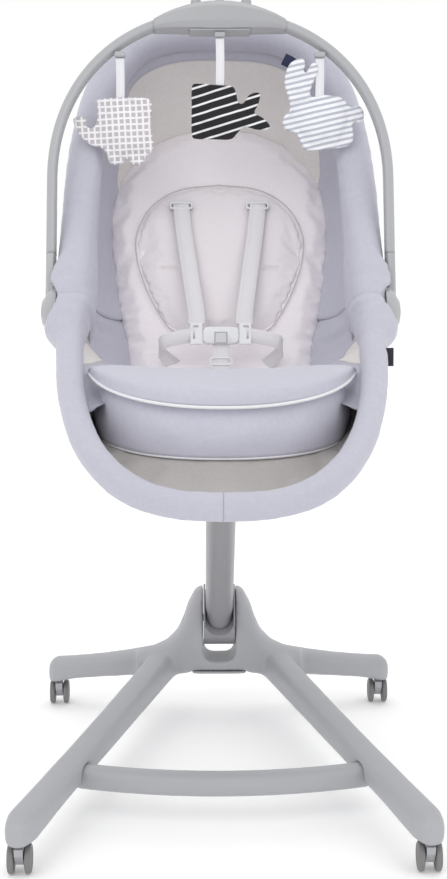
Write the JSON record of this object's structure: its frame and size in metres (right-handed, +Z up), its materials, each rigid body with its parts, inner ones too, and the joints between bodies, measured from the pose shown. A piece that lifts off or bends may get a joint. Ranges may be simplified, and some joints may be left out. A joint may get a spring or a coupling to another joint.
{
  "type": "bouncer seat",
  "caption": "Reclining baby bouncer seat with padded rim, harness and toy bar, carried by a tilting column on a four-legged castored stand.",
  "frame": {"origin": "on the floor under the middle of the bounding box; the four casters stand on Z = 0", "axes": "X to the baby's left (right in a front view), -Y to the front of the stand and the foot end of the seat, +Z up"},
  "size_m": [0.5842, 0.7324, 1.1659],
  "materials": {
    "base_plastic": "satin cool grey moulding",
    "column_plastic": "satin mid grey moulding",
    "frame_tube": "grey powder coat",
    "pin_steel": "plain",
    "wheel_rubber": "dark warm grey",
    "caster_plastic": "satin",
    "arch_plastic": "satin silver grey",
    "panel_plastic": "satin",
    "rim_fabric": "lavender grey polyester",
    "mesh_fabric": "beige open mesh",
    "pad_fabric": "pale pinkish grey jersey",
    "board_plastic": "matt",
    "webbing": "woven tape",
    "buckle_plastic": "satin",
    "toy_beige": "check weave",
    "toy_black": "black with white diagonal lines",
    "toy_grey": "grey and white stripes"
  },
  "bodies": {
    "base": {"base_shell": "base_plastic", "front_crossbar": "base_plastic", "hub_underside_cover": "base_plastic", "column_tilt_pin": "pin_steel"},
    "caster_front_left": {"caster_fork_front_left": "caster_plastic"},
    "wheels_front_left": {"caster_wheels_front_left": "wheel_rubber"},
    "caster_front_right": {"caster_fork_front_right": "caster_plastic"},
    "wheels_front_right": {"caster_wheels_front_right": "wheel_rubber"},
    "caster_rear_left": {"caster_fork_rear_left": "caster_plastic"},
    "wheels_rear_left": {"caster_wheels_rear_left": "wheel_rubber"},
    "caster_rear_right": {"caster_fork_rear_right": "caster_plastic"},
    "wheels_rear_right": {"caster_wheels_rear_right": "wheel_rubber"},
    "column": {"column_tube": "column_plastic", "column_root": "column_plastic", "column_top": "column_plastic"},
    "seat": {"seat_head": "column_plastic", "seat_head_pin": "pin_steel", "seat_cradle": "frame_tube", "seat_pan": "board_plastic", "seat_pad": "pad_fabric", "front_band": "rim_fabric", "recline_hub_left": "panel_plastic", "recline_hub_right": "panel_plastic", "buckle_body": "buckle_plastic", "buckle_tongue_left": "buckle_plastic", "buckle_tongue_right": "buckle_plastic", "waist_strap_left": "webbing", "waist_strap_right": "webbing", "crotch_strap": "webbing"},
    "height_release": {"height_release_button": "panel_plastic"},
    "recline_press_left": {"recline_button_left": "panel_plastic"},
    "recline_press_right": {"recline_button_right": "panel_plastic"},
    "buckle_press": {"buckle_button": "panel_plastic"},
    "front_rim": {"front_rim_tube": "frame_tube", "front_rim_roll": "rim_fabric", "front_mesh": "mesh_fabric"},
    "backrest": {"back_rim_frame": "frame_tube", "back_rim_roll": "rim_fabric", "back_board": "board_plastic", "back_wall": "mesh_fabric", "back_pad": "pad_fabric", "reducer_pad": "pad_fabric", "shoulder_strap_left": "webbing", "shoulder_strap_right": "webbing", "strap_slide_left": "buckle_plastic", "strap_slide_right": "buckle_plastic"},
    "toy_bar": {"toy_arch": "arch_plastic", "arch_end_left": "arch_plastic", "arch_end_right": "arch_plastic", "toy_panel": "panel_plastic", "panel_lid": "panel_plastic", "elephant_clip": "arch_plastic", "fish_clip": "arch_plastic", "rabbit_clip": "arch_plastic"},
    "key_left": {"panel_key_left": "arch_plastic"},
    "key_middle": {"panel_key_middle": "arch_plastic"},
    "key_right": {"panel_key_right": "arch_plastic"},
    "elephant": {"elephant_toy": "toy_beige"},
    "fish": {"fish_toy": "toy_black"},
    "rabbit": {"rabbit_toy": "toy_grey"}
  },
  "joints": [
    {"name": "swivel_front_left", "type": "hinge", "parent": "base", "child": "caster_front_left", "pos_m": [-0.27, -0.34, 0.05], "axis": [0, 0, 1], "continuous": true},
    {"name": "roll_front_left", "type": "hinge", "parent": "caster_front_left", "child": "wheels_front_left", "pos_m": [-0.27, -0.331, 0.02], "axis": [1, 0, 0], "continuous": true},
    {"name": "swivel_front_right", "type": "hinge", "parent": "base", "child": "caster_front_right", "pos_m": [0.27, -0.34, 0.05], "axis": [0, 0, 1], "continuous": true},
    {"name": "roll_front_right", "type": "hinge", "parent": "caster_front_right", "child": "wheels_front_right", "pos_m": [0.27, -0.331, 0.02], "axis": [1, 0, 0], "continuous": true},
    {"name": "swivel_rear_left", "type": "hinge", "parent": "base", "child": "caster_rear_left", "pos_m": [-0.275, 0.34, 0.05], "axis": [0, 0, 1], "continuous": true},
    {"name": "roll_rear_left", "type": "hinge", "parent": "caster_rear_left", "child": "wheels_rear_left", "pos_m": [-0.275, 0.349, 0.02], "axis": [1, 0, 0], "continuous": true},
    {"name": "swivel_rear_right", "type": "hinge", "parent": "base", "child": "caster_rear_right", "pos_m": [0.275, 0.34, 0.05], "axis": [0, 0, 1], "continuous": true},
    {"name": "roll_rear_right", "type": "hinge", "parent": "caster_rear_right", "child": "wheels_rear_right", "pos_m": [0.275, 0.349, 0.02], "axis": [1, 0, 0], "continuous": true},
    {"name": "column_tilt", "type": "hinge", "parent": "base", "child": "column", "pos_m": [0, 0.3, 0.165], "axis": [1, 0, 0], "range_deg": [-12, 18]},
    {"name": "seat_level", "type": "hinge", "parent": "column", "child": "seat", "pos_m": [0, 0.01716, 0.44784], "axis": [1, 0, 0], "range_deg": [-18, 12]},
    {"name": "height_release_press", "type": "slide", "parent": "seat", "child": "height_release", "axis": [0, -1, 0], "range_m": [0, 0.005], "stiffness_N_per_m": 600},
    {"name": "recline_press_left", "type": "slide", "parent": "seat", "child": "recline_press_left", "axis": [1, 0, 0], "range_m": [0, 0.003], "stiffness_N_per_m": 600},
    {"name": "recline_press_right", "type": "slide", "parent": "seat", "child": "recline_press_right", "axis": [-1, 0, 0], "range_m": [0, 0.003], "stiffness_N_per_m": 600},
    {"name": "buckle_press", "type": "slide", "parent": "seat", "child": "buckle_press", "axis": [0, 0.9409, -0.3387], "range_m": [0, 0.002], "stiffness_N_per_m": 500},
    {"name": "front_drop", "type": "hinge", "parent": "seat", "child": "front_rim", "pos_m": [0, 0.035, 0.705], "axis": [1, 0, 0], "range_deg": [-29, 0]},
    {"name": "back_recline", "type": "hinge", "parent": "seat", "child": "backrest", "pos_m": [0, 0.035, 0.705], "axis": [1, 0, 0], "range_deg": [-57, 0]},
    {"name": "toy_bar_swing", "type": "hinge", "parent": "seat", "child": "toy_bar", "pos_m": [0, 0.035, 0.705], "axis": [1, 0, 0], "range_deg": [0, 75]},
    {"name": "key_left_press", "type": "slide", "parent": "toy_bar", "child": "key_left", "axis": [0, -0.309, -0.9511], "range_m": [0, 0.002], "stiffness_N_per_m": 400},
    {"name": "key_middle_press", "type": "slide", "parent": "toy_bar", "child": "key_middle", "axis": [0, -0.309, -0.9511], "range_m": [0, 0.002], "stiffness_N_per_m": 400},
    {"name": "key_right_press", "type": "slide", "parent": "toy_bar", "child": "key_right", "axis": [0, -0.309, -0.9511], "range_m": [0, 0.002], "stiffness_N_per_m": 400},
    {"name": "elephant_swing", "type": "hinge", "parent": "toy_bar", "child": "elephant", "pos_m": [-0.15, 0.14847, 1.07528], "axis": [1, 0, 0], "range_deg": [-60, 4]},
    {"name": "fish_swing", "type": "hinge", "parent": "toy_bar", "child": "fish", "pos_m": [0, 0.15819, 1.1052], "axis": [1, 0, 0], "range_deg": [-60, 30]},
    {"name": "rabbit_swing", "type": "hinge", "parent": "toy_bar", "child": "rabbit", "pos_m": [0.15, 0.14847, 1.07528], "axis": [1, 0, 0], "range_deg": [-60, 4]}
  ],
  "couplings": [
    {"joint": "seat_level", "follows": "column_tilt", "ratio": -1}
  ]
}
